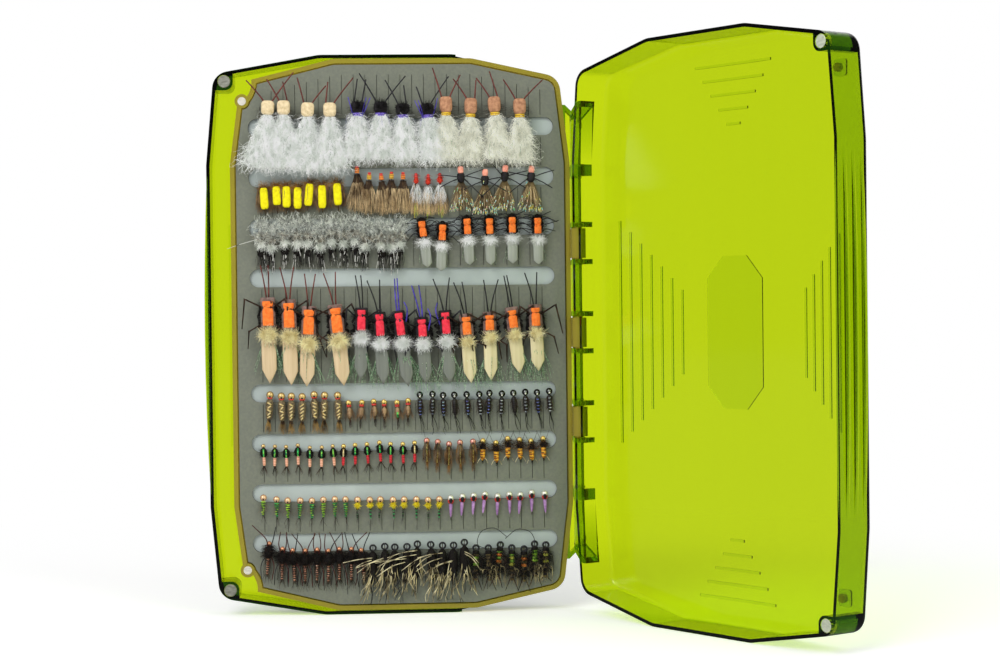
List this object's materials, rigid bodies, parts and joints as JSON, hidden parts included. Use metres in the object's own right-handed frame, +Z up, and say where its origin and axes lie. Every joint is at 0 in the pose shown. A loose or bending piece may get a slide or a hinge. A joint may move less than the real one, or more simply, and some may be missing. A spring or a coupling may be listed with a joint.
{
  "type": "fly box",
  "caption": "Clear green pocket case standing open on its end, with a hinged lid, a foam swing leaf of fishing flies between the shells, and magnets that hold it shut.",
  "frame": {"origin": "on the base shell's standing end face, on the base's long centre line, 8 mm behind the parting plane", "axes": "+Z up along the base's long side, +X across the base towards the hinge, +Y out of the base's back"},
  "size_m": [0.2243, 0.1421, 0.2095],
  "materials": {
    "green_clear": "clear tinted polycarbonate, glossy",
    "olive_clear": "clear tinted polycarbonate, dusty gold",
    "grey_foam": "matt closed-cell foam",
    "magnet_nickel": "nickel plate",
    "dressing_cream": "tied thread, fur, feather and foam on a hook",
    "dressing_black": "tied thread, fur, feather and foam on a hook",
    "dressing_tan": "tied thread, fur, feather and foam on a hook",
    "dressing_yellow": "tied thread, fur, feather and foam on a hook",
    "dressing_hair": "tied thread, fur, feather and foam on a hook",
    "dressing_white": "tied thread, fur, feather and foam on a hook",
    "dressing_pink": "tied thread, fur, feather and foam on a hook",
    "dressing_grizzly": "tied thread, fur, feather and foam on a hook",
    "dressing_orange": "tied thread, fur, feather and foam on a hook",
    "dressing_gold": "tied thread, fur, feather and foam on a hook",
    "dressing_small": "tied thread, fur, feather and foam on a hook",
    "dressing_copper": "tied thread, fur, feather and foam on a hook",
    "dressing_red": "tied thread, fur, feather and foam on a hook",
    "dressing_brown": "tied thread, fur, feather and foam on a hook",
    "dressing_green": "tied thread, fur, feather and foam on a hook",
    "dressing_purple": "tied thread, fur, feather and foam on a hook",
    "dressing_stonefly": "tied thread, fur, feather and foam on a hook"
  },
  "bodies": {
    "base": {"base_shell": "green_clear", "base_corner_magnets": "magnet_nickel", "base_keeper_magnets": "magnet_nickel"},
    "leaf": {"leaf_frame": "olive_clear", "leaf_magnets": "magnet_nickel", "front_foam": "grey_foam", "back_foam": "grey_foam", "row1_cream_flies": "dressing_cream", "row1_black_flies": "dressing_black", "row1_tan_flies": "dressing_tan", "row2_yellow_flies": "dressing_yellow", "row2_hair_flies": "dressing_hair", "row2_white_wing_flies": "dressing_white", "row2_pink_head_flies": "dressing_pink", "row3_grizzly_flies": "dressing_grizzly", "row3_orange_flies": "dressing_orange", "row4_tan_flies": "dressing_tan", "row4_black_flies": "dressing_black", "row4_cream_flies": "dressing_cream", "row5_gold_nymphs": "dressing_gold", "row5_small_nymphs": "dressing_small", "row5_black_nymphs": "dressing_black", "row6_copper_nymphs": "dressing_copper", "row6_red_nymphs": "dressing_red", "row6_brown_nymphs": "dressing_brown", "row6_orange_nymphs": "dressing_orange", "row7_green_nymphs": "dressing_green", "row7_yellow_nymphs": "dressing_yellow", "row7_purple_nymphs": "dressing_purple", "row8_stonefly_nymphs": "dressing_stonefly", "row8_black_leg_flies": "dressing_black", "row8_green_nymphs": "dressing_green"},
    "lid": {"lid_shell": "green_clear", "lid_corner_magnets": "magnet_nickel", "lid_floor_studs": "magnet_nickel"}
  },
  "joints": [
    {"name": "leaf_hinge", "type": "hinge", "parent": "base", "child": "leaf", "pos_m": [0.0707, 0, 0.10475], "axis": [0, 0, 1], "range_deg": [0, 90]},
    {"name": "lid_hinge", "type": "hinge", "parent": "leaf", "child": "lid", "pos_m": [0.0707, -0.0132, 0.10475], "axis": [0, 0, 1], "range_deg": [-124, 56]}
  ]
}
